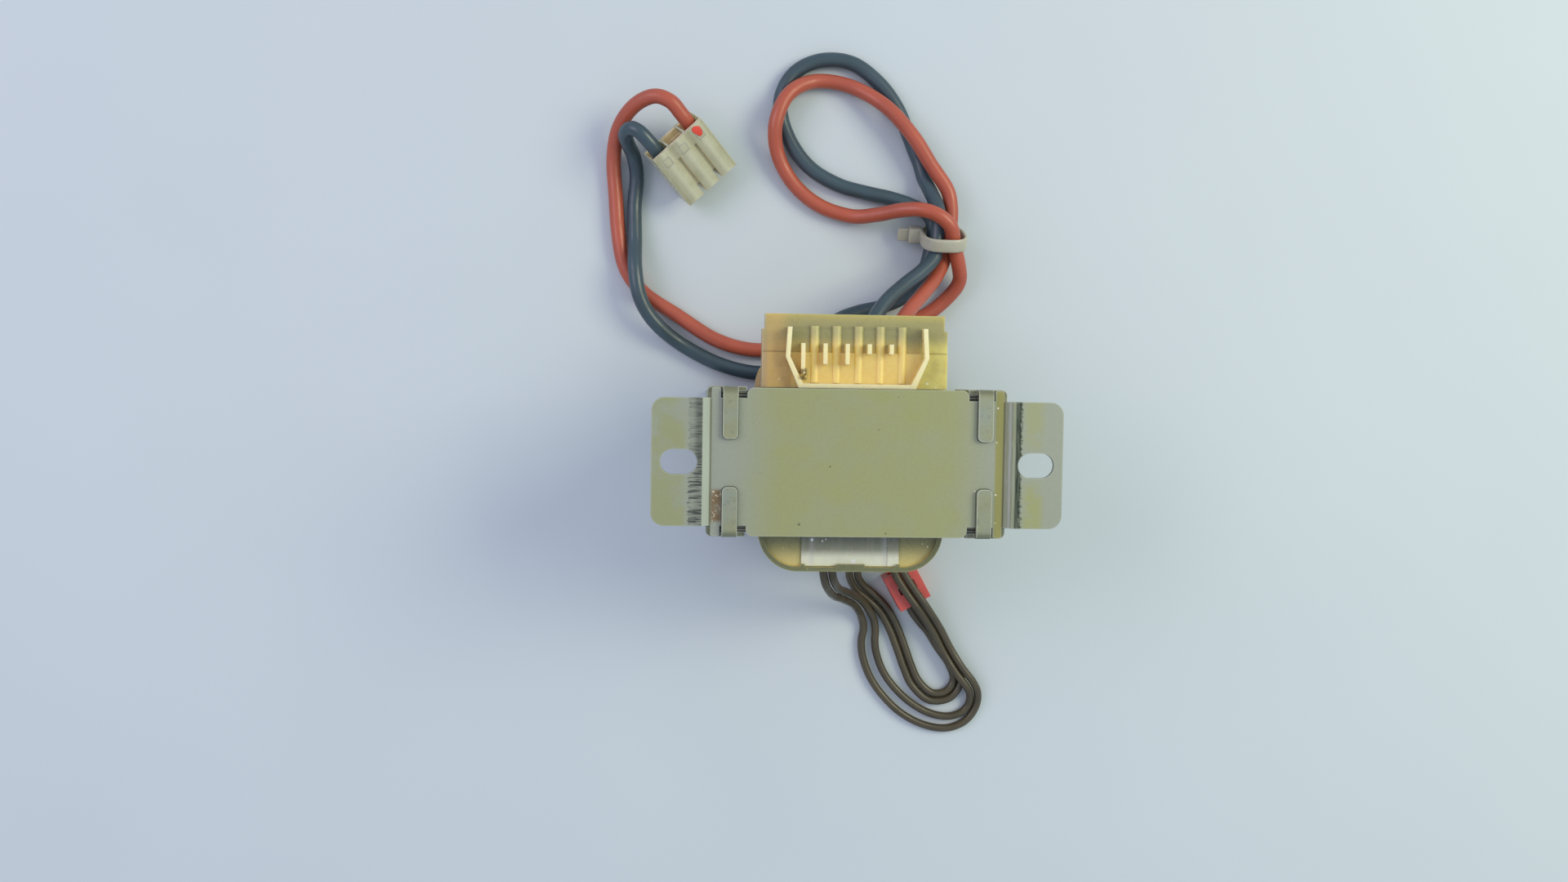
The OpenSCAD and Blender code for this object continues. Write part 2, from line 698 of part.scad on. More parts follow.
module plug_housing() {
    nose_x = plug_l / 2 - plug_nose_l;
    color("#dcdecf") in_plug_place() difference() {
        cube([plug_l, plug_w, plug_h], center = true);
        for (way = [-1 : 1])
            translate([0, way * plug_step, 0]) {
                cavity(plug_cavity, plug_mouth, plug_mouth_l, plug_l);
                translate([-plug_l / 2 + plug_window_at - plug_window[0] / 2, -plug_window[1] / 2, 0])
                    cube([plug_window[0], plug_window[1], plug_h]);
            }
        for (gap = [-0.5, 0.5], face = [-1, 1])
            translate([-plug_l / 4, gap * plug_step - plug_groove[0] / 2, face * plug_h / 2 - plug_groove[1]])
                cube([plug_l, plug_groove[0], 2 * plug_groove[1]]);
        for (gap = [-0.5, 0.5])
            translate([nose_x, gap * plug_step - plug_groove[0] / 2, -plug_h])
                cube([plug_l, plug_groove[0], 2 * plug_h]);
        for (side = [-1, 1])
            translate([-plug_slot[0] / 2, side * plug_w / 2 - plug_slot[2], -plug_slot[1] / 2])
                cube([plug_slot[0], 2 * plug_slot[2], plug_slot[1]]);
    }
}

module plug_contacts() {
    color("#b9b6a4") in_plug_place()
        for (way = plug_used)
            translate([0, way * plug_step, 0])
                contact(plug_contact_w, plug_cavity[1], plug_barrel_l, plug_nose_l, plug_wire_l, plug_l);
}

module socket_housing() {
    color("#bf3f3c") in_socket_place() difference() {
        cube([socket_l, socket_w, socket_h], center = true);
        for (way = socket_used)
            translate([0, way * socket_step, 0]) {
                cavity(socket_cavity, socket_mouth, socket_mouth_l, socket_l);
                translate([-socket_window[0] / 2, -socket_window[1] / 2, 0])
                    cube([socket_window[0], socket_window[1], socket_h]);
            }
        for (side = [-1, 1])
            translate([-socket_slot[0] / 2, side * socket_w / 2 - socket_slot[2], -socket_slot[1] / 2])
                cube([socket_slot[0], 2 * socket_slot[2], socket_slot[1]]);
    }
}

module socket_contacts() {
    color("#b9b6a4") in_socket_place()
        for (way = socket_used)
            translate([0, way * socket_step, 0])
                contact(socket_contact_w, socket_cavity[1], socket_barrel_l, socket_nose_l, socket_wire_l,
                        socket_l);
}

channel_bracket();
mounting_plate();
e_laminations_upright();
e_laminations_inverted();
i_laminations_top();
i_laminations_bottom();
bobbin();
primary_winding();
secondary_winding();
primary_tape();
secondary_tape();
insulation_film();
red_lead();
blue_lead();
cable_tie();
plug_housing();
plug_contacts();
brown_lead_outer();
brown_lead_inner();
socket_housing();
socket_contacts();
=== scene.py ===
"""Looks of a small mains transformer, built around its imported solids."""
import math

import bmesh
import bpy
from mathutils import Euler, Matrix, Vector


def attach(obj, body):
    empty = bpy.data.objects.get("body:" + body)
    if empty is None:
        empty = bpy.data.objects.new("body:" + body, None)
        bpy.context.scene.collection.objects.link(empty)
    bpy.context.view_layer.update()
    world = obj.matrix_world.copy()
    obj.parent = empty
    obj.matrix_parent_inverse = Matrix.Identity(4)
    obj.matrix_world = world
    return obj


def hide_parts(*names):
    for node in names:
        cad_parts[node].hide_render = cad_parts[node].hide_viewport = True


MM = 0.001

# Camera, in millimetres and degrees
CAMERA_AT = (-26.0, 12.76, 255.75)
CAMERA_TURN = (-2.52, -3.63, 0.89)
CAMERA_LENS = 30.0
CAMERA_SENSOR = 36.0
CAMERA_CLIP = 10.0

# Room and floor, then softboxes as name, place, size, power and colour, in metres and watts
ROOM_COLOUR = (0.5, 0.56, 0.65, 1.0)
ROOM_STRENGTH = 1.0
FLOOR_SIZE = 4.0
SOFTBOXES = [
    ("right_softbox", (0.42, 0.17, 0.42), 0.3, 2.0, (1.0, 0.95, 0.66)),
    ("left_softbox", (-0.42, 0.17, 0.42), 0.35, 0.98, (1.0, 0.8, 1.0)),
]

# Rounded copies of the solids, in millimetres and degrees
MERGE_DISTANCE = 0.001
FLAT_ANGLE = 1.0
SHARP_ANGLE = 40.0

# Packs of sheets in the core
LAMINATIONS = ("e_laminations_upright", "e_laminations_inverted", "i_laminations_top", "i_laminations_bottom")

# Small marks and painted glints on the surfaces as x, y and radius, in millimetres
PLATE_SPECKS = [(-4.6, -0.6, 0.16), (-9.6, -10.2, 0.24), (4.8, -11.6, 0.16), (3.4, 5.6, 0.12), (6.6, 11, 0.1)]
# White dots on beads of varnish, which are painted glints
VARNISH_BEAD_GLINTS = [(23.2, 9.4, 0.16), (23.1, 3.7, 0.12), (23.1, -5, 0.16), (23.1, -9.7, 0.1), (19.6, -4.4, 0.1)]
FILM_GLINTS = [(-6.6, -13.8, 0.26), (-4.8, -14, 0.14), (-4.2, -13.7, 0.12), (0.6, -17.5, 0.4)]
FLANGE_GLINTS = [(13.5, -14.9, 0.16), (12.6, -14.4, 0.1)]
BLOCK_GLINTS = [(12.4, 13.3, 0.2), (13.9, 12.7, 0.12), (-12.9, 13.7, 0.12)]

# Creases of the plate, tabs on it and the line of grime and painted contact shade around them, in millimetres
CREASE_X = 24.3
TAB_X = 21.1
TAB_W = 2.5
TAB_CORNER_R = 0.8
REAR_TIP_Y = 3.8
FRONT_TIP_Y = -4.1
GRIME_AND_SHADE_W = 0.2

# Sheets of the core, the half of the stack that shows their edges, and turns of tape, in millimetres
SHEET_PITCH = 0.483
STACK_INSIDE = 11.5
TAPE_TURN = 3.4

# Share of fine detail in every noise
NOISE_ROUGHNESS = 0.55

# Leads, in millimetres
LEAD_D = 2.8
BROWN_D = 1.5
COIL_FACE_Y = 18.2
SPLINE_STEPS = 8
TUBE_RESOLUTION = 5

# White plug and red socket, in millimetres and degrees
PLUG_AT = (-28.6, 55.2)
PLUG_YAW = -47.0
PLUG_PITCH = 30.0
PLUG_L = 11.5
PLUG_H = 6.4
PLUG_STEP = 3.96
PLUG_WIRE_L = 2.5
WINDOW = (1.7, 1.5)
WINDOW_AT = 2.1
TONGUE_GAP = 0.01
TONGUE_DEPTH = 1.0
TONGUE_DROP = 0.02
TONGUE_ROUNDING = 0.03
MARK = (1.05, 0.85)
MARK_AT = 1.25
MARK_POINTS = 24
MARK_H = 0.12
MARK_ROUNDING = 0.1
PLUG_INSIDE = 2.8
SOCKET_AT = (14.6, -26.3)
SOCKET_YAW = 119.0
SOCKET_L = 7.4
SOCKET_H = 4.8
SOCKET_STEP = 2.5
SOCKET_WIRE_L = 2.0
LEAD_IN = 2.0

# Cable tie, in millimetres and degrees. Its head and tail have a middle, a size and a rounding
TIE_AT = (20.2, 41.3, 5.08)
TIE_TILT = 24.0
TIE_INNER = (3.6, 4.08)
TIE_OUTER = (4.5, 5.0)
TIE_W = 2.5
TIE_HEAD = ((-5.2, 0, -2.3), (2.6, 3, 2.6), 0.4)
TIE_TAIL = ((-7.4, 0, -2.3), (2.2, 2.5, 0.8), 0.25)
TIE_INNER_POWER = 4.0
TIE_OUTER_POWER = 2.6
TIE_SECTION_POWER = 3.2
TIE_TURN_POINTS = 72
TIE_SECTION_POINTS = 20

RED_ROUTE = [
    (9.5, COIL_FACE_Y, 17), (9.5, 21, 17), (10.3, 24, 16), (12.6, 27, 13), (15.6, 30.2, 9.2),
    (18.6, 33.6, 5.8), (20.6, 37.2, 3.7), (21.6, 41.2, 3.3), (21.8, 44.6, 3.8), (21.7, 47.8, 4.1),
    (20.8, 51, 4.4), (17.6, 55.5, 4.5), (13.9, 61, 4.5), (8.6, 66.6, 3.9), (1.8, 70.6, 1.9),
    (-5, 71.2, 2.1), (-10, 68.2, 4.3), (-12.4, 62.6, 4.5), (-11.8, 57, 2.6), (-8.6, 51.6, 1.6),
    (-3.6, 47.6, 1.55), (2.6, 45.6, 2.2), (7.4, 45.7, 4.4), (11.4, 46.3, 6.9), (15, 46.3, 8.8),
    (18.4, 45.2, 9.5), (21, 43, 8.8), (22, 39.8, 6.7), (23.2, 36.6, 5.2), (23.8, 33.2, 3.1),
    (21.4, 29.8, 1.7), (17.2, 26.6, 1.55), (11, 24.4, 1.55), (3, 22.6, 1.55), (-4.6, 21.8, 1.55),
    (-14, 19.4, 1.55), (-22.6, 21, 1.55), (-31, 26, 1.55), (-37.2, 30, 1.55), (-40.8, 34.8, 1.55),
    (-42.2, 41.4, 1.55), (-42.8, 48.6, 1.55), (-43.2, 55.4, 2.2), (-42.2, 60.6, 4.6), (-39.4, 64.2, 7.6),
    (-35.6, 65.8, 10), (-32.4, 64.9, 10.6),
]
BLUE_ROUTE = [
    (4.5, COIL_FACE_Y, 17), (4.5, 21, 17), (5.3, 24.4, 16.6), (8, 28.4, 14.2), (11.8, 31.8, 11.2),
    (15.4, 34.6, 8.8), (18.1, 37.4, 7), (18.7, 40.6, 6.45), (18.9, 43.8, 6.4), (18.9, 46.8, 5.9),
    (17.9, 50, 4), (16.7, 53.2, 2.1), (15.9, 56, 1.6), (14.8, 58.6, 1.55), (13.4, 62, 1.55),
    (11.2, 66.8, 1.55), (7.6, 71.4, 1.55), (2.4, 75, 1.55), (-3.6, 75.4, 1.55), (-8.6, 73, 1.55),
    (-11.2, 68.6, 1.55), (-11, 63.6, 1.55), (-8.6, 58.4, 1.55), (-5, 54.4, 1.55), (0.2, 51.6, 1.55),
    (5.6, 50.2, 1.7), (10.4, 49.2, 2), (14.4, 47.8, 2.6), (17.6, 46.1, 3.1), (18.7, 42.7, 3.4),
    (18.1, 38.8, 2.6), (16.9, 34.8, 1.8), (14, 30.8, 1.55), (9.4, 28.4, 1.6), (4, 27, 2.6),
    (-0.4, 25, 4.4), (-4.6, 21, 4.7), (-8.6, 17.4, 3.2), (-14, 15, 1.55), (-22, 16.4, 1.55),
    (-29.8, 20.2, 1.7), (-35, 24.4, 3.8), (-37.8, 29, 4.8), (-38.8, 34.4, 4.6), (-39, 40, 2.6),
    (-39.2, 46.6, 1.55), (-38.8, 52, 1.9), (-39.3, 55.6, 3.3), (-40.4, 57.9, 5.4), (-40.7, 59.2, 7.4),
    (-39.7, 59.9, 9.2), (-38, 59.2, 10.1),
]

# Middle line of the brown pair, with half the distance between its two leads
PAIR_ROUTE = [
    (-3, -COIL_FACE_Y, 25, 0.8), (-3, -20.6, 25, 0.8), (-2.4, -22.8, 23.8, 0.8), (-1, -24.8, 20, 0.8),
    (0.8, -26.2, 14.6, 0.8), (2.8, -27.6, 9.4, 0.8), (4.8, -29.2, 5, 0.8), (6.4, -31.2, 2.2, 0.9),
    (7.5, -33.4, 1.1, 1.1), (7.8, -35.4, 0.88, 1.2), (7.6, -37.8, 0.88, 1.35), (8, -40.6, 0.88, 1.4),
    (9.4, -44.2, 0.88, 1.4), (11.8, -47.6, 0.88, 1.4), (15.2, -50.8, 0.88, 1.4), (19.2, -53, 0.88, 1.3),
    (23.2, -53.8, 0.88, 1.2), (26.4, -53, 0.88, 1), (28.4, -51, 0.88, 0.8), (28.9, -48.4, 1.4, 0.8),
    (27.9, -46, 2.3, 0.8), (25.4, -42.8, 2.6, 0.8), (23, -39, 2.6, 0.8), (20.8, -35, 3.4, 0.8),
    (17.8, -30.6, 5.4, 0.8), (15, -26.8, 5.95, 0.8), (12.8, -23.4, 6.3, 0.8), (11.6, -20.5, 6.4, 0.8),
    (8.4, -19.1, 6, 0.8), (5.4, -20.4, 5.2, 0.8), (4.1, -23.4, 3.6, 0.8), (5.3, -26.4, 2, 0.8),
    (8, -28.8, 1.1, 0.8), (10.6, -31.4, 0.88, 0.8), (12.6, -35, 0.88, 0.8), (14.2, -39, 0.88, 0.8),
    (15.6, -42.8, 0.88, 0.8), (17.2, -46, 0.88, 0.8), (20.2, -48.6, 0.88, 0.8), (23.8, -48.2, 0.88, 0.8),
    (25.6, -45.2, 0.88, 0.8), (24.4, -41.6, 0.88, 0.8), (22, -38.2, 0.88, 0.8), (20.2, -35.2, 1, 0.9),
    (18.7, -33.2, 1.7, 1.1),
]


def linear(rgb):
    """Scene-linear RGBA of an sRGB colour given from 0 to 255."""
    parts = [c / 255 for c in rgb]
    return tuple(c / 12.92 if c <= 0.04045 else ((c + 0.055) / 1.055) ** 2.4 for c in parts) + (1.0,)


class Shade:
    """A procedural material, with short calls for its nodes. Lengths are in millimetres."""

    def __init__(self, name):
        self.material = bpy.data.materials.new(name)
        self.material.use_nodes = True
        self.tree = self.material.node_tree
        self.tree.nodes.clear()
        output = self.tree.nodes.new("ShaderNodeOutputMaterial")
        self.body = self.tree.nodes.new("ShaderNodeBsdfPrincipled")
        self.tree.links.new(self.body.outputs[0], output.inputs["Surface"])
        place = self.tree.nodes.new("ShaderNodeTexCoord").outputs["Object"]
        self.mm = self.node("ShaderNodeVectorMath", 0, {"operation": "SCALE"}, {0: place, "Scale": 1 / MM})
        split = self.tree.nodes.new("ShaderNodeSeparateXYZ")
        self.tree.links.new(self.mm, split.inputs[0])
        self.axes = {axis: split.outputs[axis] for axis in "XYZ"}

    def node(self, kind, output, settings=None, inputs=None):
        made = self.tree.nodes.new(kind)
        for key, value in (settings or {}).items():
            setattr(made, key, value)
        for key, value in (inputs or {}).items():
            self.put(made.inputs[key], value)
        return made.outputs[output]

    def put(self, socket, value):
        if isinstance(value, bpy.types.NodeSocket):
            self.tree.links.new(value, socket)
        else:
            socket.default_value = value

    def set(self, **inputs):
        """Principled sockets by name, with underscores for spaces."""
        for key, value in inputs.items():
            self.put(self.body.inputs[key.replace("_", " ")], value)

    def calc(self, operation, a, b=0.0):
        return self.node("ShaderNodeMath", 0, {"operation": operation}, {0: a, 1: b})

    def times(self, *values):
        product = values[0]
        for value in values[1:]:
            product = self.calc("MULTIPLY", product, value)
        return product

    def dot(self, a, b):
        return self.node("ShaderNodeVectorMath", "Value", {"operation": "DOT_PRODUCT"}, {0: a, 1: b})

    def length(self, a, b):
        return self.calc("SQRT", self.calc("ADD", self.times(a, a), self.times(b, b)))

    def along(self, axis, start):
        """Distance from the start along an axis of any direction."""
        return self.calc("SUBTRACT", self.dot(self.mm, tuple(axis)), axis.dot(start))

    def span(self, value, low, high, start=0.0, end=1.0):
        """Smooth change from start to end while value goes from low to high."""
        settings = {"interpolation_type": "SMOOTHSTEP", "clamp": True}
        inputs = {"Value": value, "From Min": low, "From Max": high, "To Min": start, "To Max": end}
        return self.node("ShaderNodeMapRange", 0, settings, inputs)

    def band(self, axis, low, high, soft):
        """1 between two places on an axis, with soft ends."""
        rise = self.span(self.axes[axis], low - soft, low + soft)
        fall = self.span(self.axes[axis], high - soft, high + soft, 1.0, 0.0)
        return self.times(rise, fall)

    def noise(self, size, detail=3.0, stretch=(1.0, 1.0, 1.0)):
        """Noise from 0 to 1 with features of that size."""
        scale = tuple(s / size for s in stretch)
        place = self.node("ShaderNodeVectorMath", 0, {"operation": "MULTIPLY"}, {0: self.mm, 1: scale})
        inputs = {"Vector": place, "Scale": 1.0, "Detail": detail, "Roughness": NOISE_ROUGHNESS}
        return self.node("ShaderNodeTexNoise", "Fac", None, inputs)

    def mix(self, amount, a, b):
        """A blend of two colours, which are sockets 6 and 7 of its node."""
        inputs = {0: amount, 6: a, 7: b}
        return self.node("ShaderNodeMix", 2, {"data_type": "RGBA"}, inputs)

    def over(self, colour, amount, rgb):
        """A second colour laid over the first by that amount."""
        return self.mix(amount, colour, linear(rgb))

    def zone(self, soft, **limits):
        """1 inside the limits given for each axis, with soft edges."""
        return self.times(*[self.band(axis, low, high, soft) for axis, (low, high) in limits.items()])

    def spots(self, size, low, high):
        """1 in the peaks of a noise, rising between those two levels."""
        return self.span(self.noise(size), low, high)

    def dots(self, places):
        """1 on small round dots, each given as x, y and its radius, seen from above."""
        found = []
        for x, y, radius in places:
            across = self.calc("SUBTRACT", self.axes["X"], x)
            along = self.calc("SUBTRACT", self.axes["Y"], y)
            found.append(self.span(self.length(across, along), radius * 1.3, radius * 0.6))
        total = found[0]
        for dot in found[1:]:
            total = self.calc("MAXIMUM", total, dot)
        return total

    def tab_grime_and_shade(self):
        """1 under the four tabs and in a thin line around them, for grime and painted contact shade."""
        side = self.calc("SUBTRACT", self.calc("ABSOLUTE", self.axes["X"]), TAB_X)
        across = self.calc("SUBTRACT", self.calc("ABSOLUTE", side), TAB_W / 2 - TAB_CORNER_R)
        across = self.calc("MAXIMUM", across, 0.0)
        tip = self.span(self.axes["Y"], -1.0, 1.0, TAB_CORNER_R - FRONT_TIP_Y, TAB_CORNER_R + REAR_TIP_Y)
        beyond = self.calc("MAXIMUM", self.calc("SUBTRACT", tip, self.calc("ABSOLUTE", self.axes["Y"])), 0.0)
        return self.span(self.length(across, beyond), TAB_CORNER_R + GRIME_AND_SHADE_W, TAB_CORNER_R + GRIME_AND_SHADE_W / 2)

    def edges(self, width):
        """1 on edges, within that width."""
        rounded = self.node("ShaderNodeBevel", 0, {"samples": 6}, {"Radius": width * MM})
        flat = self.node("ShaderNodeNewGeometry", "True Normal")
        return self.span(self.dot(rounded, flat), 0.98, 0.8)

    def scatter(self, weight):
        """Light that spreads about a millimetre in white nylon."""
        self.set(Subsurface_Weight=weight, Subsurface_Scale=0.001, Subsurface_Radius=(1.0, 1.0, 0.8))

    def bump(self, height, distance):
        """Bump of that depth in millimetres."""
        normal = self.node("ShaderNodeBump", 0, None, {"Height": height, "Distance": distance * MM})
        self.put(self.body.inputs["Normal"], normal)


def plate_material():
    """Satin zinc with an olive passivation, rubbed strips by the steps, varnish and a brown stain; painted
    highlights on one step and the edges, painted shade in the creases and around the tabs, and painted glints
    on the varnish.
    """
    s = Shade("zinc_plate")
    olive = s.times(s.band("X", -17, 19, 5.0), s.span(s.noise(14.0), 0.25, 0.6, 0.6, 1.0))
    colour = s.mix(olive, linear((155, 162, 147)), linear((156, 160, 113)))
    patches = s.times(s.band("X", -16, 18, 4.0), s.spots(9.0, 0.52, 0.7))
    colour = s.over(colour, s.times(patches, 0.5), (158, 160, 96))
    left_foot = s.times(s.band("X", -34, -28.4, 0.8), s.spots(6.0, 0.3, 0.6))
    colour = s.over(colour, s.times(left_foot, 0.9), (152, 157, 114))
    sides = s.span(s.calc("ABSOLUTE", s.axes["Y"]), 1.6, 4.2)
    right_foot = s.times(s.band("X", 27.4, 30.6, 1.0), sides, s.spots(3.0, 0.25, 0.6))
    colour = s.over(colour, s.times(right_foot, s.span(s.axes["Y"], -2, 4, 0.85, 0.55)), (158, 162, 106))
    grain = s.noise(0.3, 2.0)
    colour = s.over(colour, s.span(grain, 0.35, 0.75, 0.0, 0.12), (118, 124, 102))

    scratch = s.noise(0.22, 2.0, (0.07, 1.0, 1.0))
    lines = s.span(scratch, 0.44, 0.6)
    reach = s.times(s.calc("SUBTRACT", s.noise(0.5, 2.0, (0.05, 1.0, 1.0)), 0.5), 1.6)
    ragged = s.calc("ADD", s.axes["X"], reach)
    strip = s.span(s.axes["X"], -25.8, -25.5, 1.0, 0.0)
    rubbed = s.times(s.span(ragged, -28.0, -27.8), strip)
    solid = s.times(s.span(s.axes["X"], -27.4, -26.2), s.span(s.axes["Y"], -4, 2, 0.25, 0.5))
    marks = s.calc("ADD", s.times(lines, s.span(s.axes["Y"], -3, 3, 0.75, 0.3)), s.calc("ADD", solid, 0.12))
    colour = s.over(colour, s.times(rubbed, marks), (62, 68, 62))
    # A bright band on the left step, which faces the right-hand lamp: painted highlight
    colour = s.over(colour, s.times(s.band("X", -25.6, -24.5, 0.12), 0.75), (182, 193, 180))
    drawn = s.noise(0.35, 3.0, (1.0, 0.08, 1.0))
    slope = s.band("X", 24.5, 26.0, 0.15)
    colour = s.over(colour, s.times(slope, s.span(drawn, 0.35, 0.6, 0.3, 0.9)), (136, 142, 112))
    colour = s.over(colour, s.times(s.band("X", 25.0, 25.3, 0.12), 0.5), (184, 188, 178))
    frayed = s.calc("ADD", s.axes["X"], s.times(s.noise(0.5, 4.0), 1.6))
    worn = s.times(s.span(s.axes["X"], 25.8, 26.2), s.span(frayed, 27.5, 28.1, 1.0, 0.0))
    colour = s.over(colour, s.times(worn, s.span(drawn, 0.3, 0.6, 0.7, 1.0)), (44, 56, 42))

    flat = s.band("Z", 40.6, 42.1, 0.1)
    varnish = s.times(s.band("X", 22.9, 24.4, 0.3), flat)
    colour = s.over(colour, s.times(varnish, 0.85), (158, 154, 82))
    stain = s.times(s.zone(0.4, X=(-24.2, -22.4), Y=(-9.8, -4.6)), s.span(s.noise(1.6), 0.25, 0.5, 0.4, 1.0))
    colour = s.over(colour, s.times(stain, 0.85), (122, 94, 54))
    colour = s.over(colour, s.times(stain, s.spots(0.5, 0.58, 0.66), 0.8), (220, 214, 190))
    # A dark line along each crease: painted shade
    beyond = s.calc("SUBTRACT", s.calc("ABSOLUTE", s.axes["X"]), CREASE_X)
    crease = s.span(s.calc("ABSOLUTE", beyond), 0.0, 0.26, 1.0, 0.0)
    colour = s.over(colour, s.times(crease, 0.75), (78, 78, 54))
    colour = s.over(colour, s.times(s.spots(0.5, 0.72, 0.78), 0.4), (96, 98, 80))
    # A dark line around the tabs: grime and painted contact shade
    colour = s.over(colour, s.times(s.tab_grime_and_shade(), 0.7), (52, 54, 40))
    colour = s.over(colour, s.times(s.dots(PLATE_SPECKS), 0.7), (86, 88, 66))
    # Light lines on the edges: painted highlights
    colour = s.over(colour, s.times(s.edges(0.35), 0.7), (206, 212, 200))
    # White dots on the varnish beads: painted glints
    colour = s.over(colour, s.times(s.dots(VARNISH_BEAD_GLINTS), 0.9), (244, 242, 224))

    s.set(Base_Color=colour, Metallic=0.3)
    s.set(Roughness=s.span(varnish, 0.0, 1.0, 0.46, 0.18))
    relief = s.calc("ADD", s.times(grain, 0.5), s.times(scratch, rubbed))
    s.bump(s.times(relief, s.span(varnish, 0.0, 1.0, 1.0, 0.0)), 0.014)
    return s.material


def bracket_material():
    """Satin zinc of the folded channel, darker and browner at the foot of its tabs as painted shade, with
    painted highlights on its edges.
    """
    s = Shade("zinc_bracket")
    colour = s.mix(s.spots(5.0, 0.3, 0.65), linear((148, 157, 143)), linear((152, 156, 124)))
    top = s.band("Z", 41.9, 44, 0.15)
    colour = s.over(colour, s.times(top, s.spots(1.2, 0.55, 0.75), 0.5), (122, 128, 112))
    # Darker and browner where the tabs bend down: painted shade
    bend = s.times(s.span(s.calc("ABSOLUTE", s.axes["Y"]), 10.9, 11.9), s.band("Z", 40, 43, 0.3))
    colour = s.over(colour, s.times(bend, 0.55), (100, 100, 72))
    grain = s.noise(0.3, 2.0)
    colour = s.over(colour, s.span(grain, 0.4, 0.75, 0.0, 0.16), (110, 114, 94))
    # Light lines on the edges: painted highlights
    colour = s.over(colour, s.times(s.edges(0.35), 0.85), (210, 215, 202))
    s.set(Base_Color=colour, Metallic=0.35, Roughness=s.span(s.noise(1.6, 4.0), 0.25, 0.75, 0.34, 0.5))
    rolled = s.noise(0.4, 3.0, (1.0, 1.0, 0.08))
    s.bump(s.calc("ADD", s.times(grain, 0.6), s.times(rolled, 0.4)), 0.012)
    return s.material


def core_material():
    """Varnished core steel with the edges of its sheets and rusty spots."""
    s = Shade("core_steel")
    colour = s.mix(s.spots(3.5, 0.35, 0.7), linear((88, 90, 86)), linear((118, 118, 110)))
    colour = s.over(colour, s.times(s.spots(1.3, 0.6, 0.72), 0.6), (104, 78, 52))
    sheet = s.calc("FRACT", s.times(s.axes["Y"], 1 / SHEET_PITCH))
    gap = s.span(sheet, 0.04, 0.16)
    inside = s.band("Y", -STACK_INSIDE, STACK_INSIDE, 0.04)
    colour = s.over(colour, s.times(inside, s.span(sheet, 0.45, 0.6), 0.7), (150, 148, 128))
    colour = s.over(colour, s.times(inside, s.span(sheet, 0.45, 0.3), 0.8), (30, 30, 26))
    s.set(Base_Color=colour, Metallic=0.6, Roughness=s.span(s.noise(2.0), 0.3, 0.7, 0.34, 0.55))
    s.bump(s.calc("ADD", s.times(gap, 0.8), s.times(s.noise(0.3), 0.2)), 0.04)
    return s.material


def bobbin_material():
    """Clouded amber nylon: cream walls with painted highlights on top, soft yellow ribs with a painted glow,
    a grey-green lip, and an olive front flange with painted shade under the plate and painted highlights on
    its edges.
    """
    s = Shade("bobbin_nylon")
    colour = s.mix(s.span(s.axes["X"], -13, 12), linear((208, 178, 112)), linear((214, 206, 126)))
    colour = s.over(colour, s.times(s.spots(3.0, 0.45, 0.75), 0.4), (176, 148, 92))
    colour = s.over(colour, s.times(s.span(s.axes["X"], -14.4, -15.6), 0.6), (158, 148, 132))
    seam = s.times(s.band("Y", 18.2, 18.5, 0.15), s.span(s.calc("ABSOLUTE", s.axes["X"]), 11.4, 11.8))
    colour = s.over(colour, s.times(seam, 0.45), (140, 118, 66))
    cloud = s.times(s.span(s.axes["Y"], 18.6, 21.6), s.span(s.axes["X"], -13.4, -10.4, 0.45, 1.0))
    north = s.mix(s.span(s.axes["Y"], 23.2, 24.6), linear((158, 155, 110)), linear((175, 168, 107)))
    colour = s.mix(s.times(cloud, 0.9), colour, north)
    pan = s.zone(0.3, X=(-10.8, 11.2), Y=(12, 22.8), Z=(33, 36.2))
    amber = s.mix(s.span(s.axes["Y"], 21.4, 17.4), linear((151, 148, 103)), linear((214, 188, 106)))
    amber = s.over(amber, s.times(s.spots(2.6, 0.5, 0.7), s.span(s.axes["Y"], 19, 17), 0.4), (206, 164, 88))
    colour = s.mix(s.times(pan, 0.95), colour, amber)
    # Rib crests lighter towards the coil: a painted glow
    crest = s.times(pan, s.span(s.axes["Z"], 34.9, 35.4))
    glow = s.mix(s.span(s.axes["Y"], 22.0, 18.6), linear((184, 180, 126)), linear((242, 218, 138)))
    colour = s.mix(s.times(crest, 0.85), colour, glow)
    walls = s.band("Z", 35.8, 40, 0.4)
    colour = s.over(colour, s.times(walls, 0.85), (222, 204, 138))
    # Wall tops lighter: painted highlight
    tops = s.band("Z", 37.0, 40, 0.15)
    colour = s.over(colour, s.times(tops, 0.85), (248, 236, 188))
    dirt = s.times(s.zone(0.35, X=(-9.7, -8.2), Y=(13.6, 15.6), Z=(33, 39)), s.spots(0.7, 0.38, 0.52))
    colour = s.over(colour, s.times(dirt, 0.85), (88, 70, 34))
    colour = s.over(colour, s.times(s.dots(BLOCK_GLINTS), 0.9), (252, 250, 226))

    front = s.span(s.axes["Y"], -11.8, -12.2)
    # The front flange darker towards the plate above it: painted shade
    dish = s.mix(s.span(s.axes["Y"], -13.4, -18.2), linear((138, 138, 98)), linear((226, 212, 142)))
    dish = s.mix(s.span(s.axes["Z"], 32.9, 33.3), dish, linear((118, 122, 88)))
    dish = s.over(dish, s.times(s.spots(0.8, 0.66, 0.74), 0.4), (220, 212, 160))
    # Light lines on the edges: painted highlights
    dish = s.over(dish, s.times(s.edges(0.25), 0.35), (204, 202, 160))
    dish = s.over(dish, s.times(s.dots(FLANGE_GLINTS), 0.85), (240, 232, 190))
    colour = s.mix(front, colour, dish)
    s.set(Base_Color=colour, Roughness=s.span(s.noise(1.2), 0.3, 0.7, 0.24, 0.42))
    s.set(Subsurface_Weight=0.7, Subsurface_Scale=0.002, Subsurface_Radius=(1.0, 0.8, 0.45))
    s.bump(s.noise(0.9, 3.0), 0.02)
    return s.material


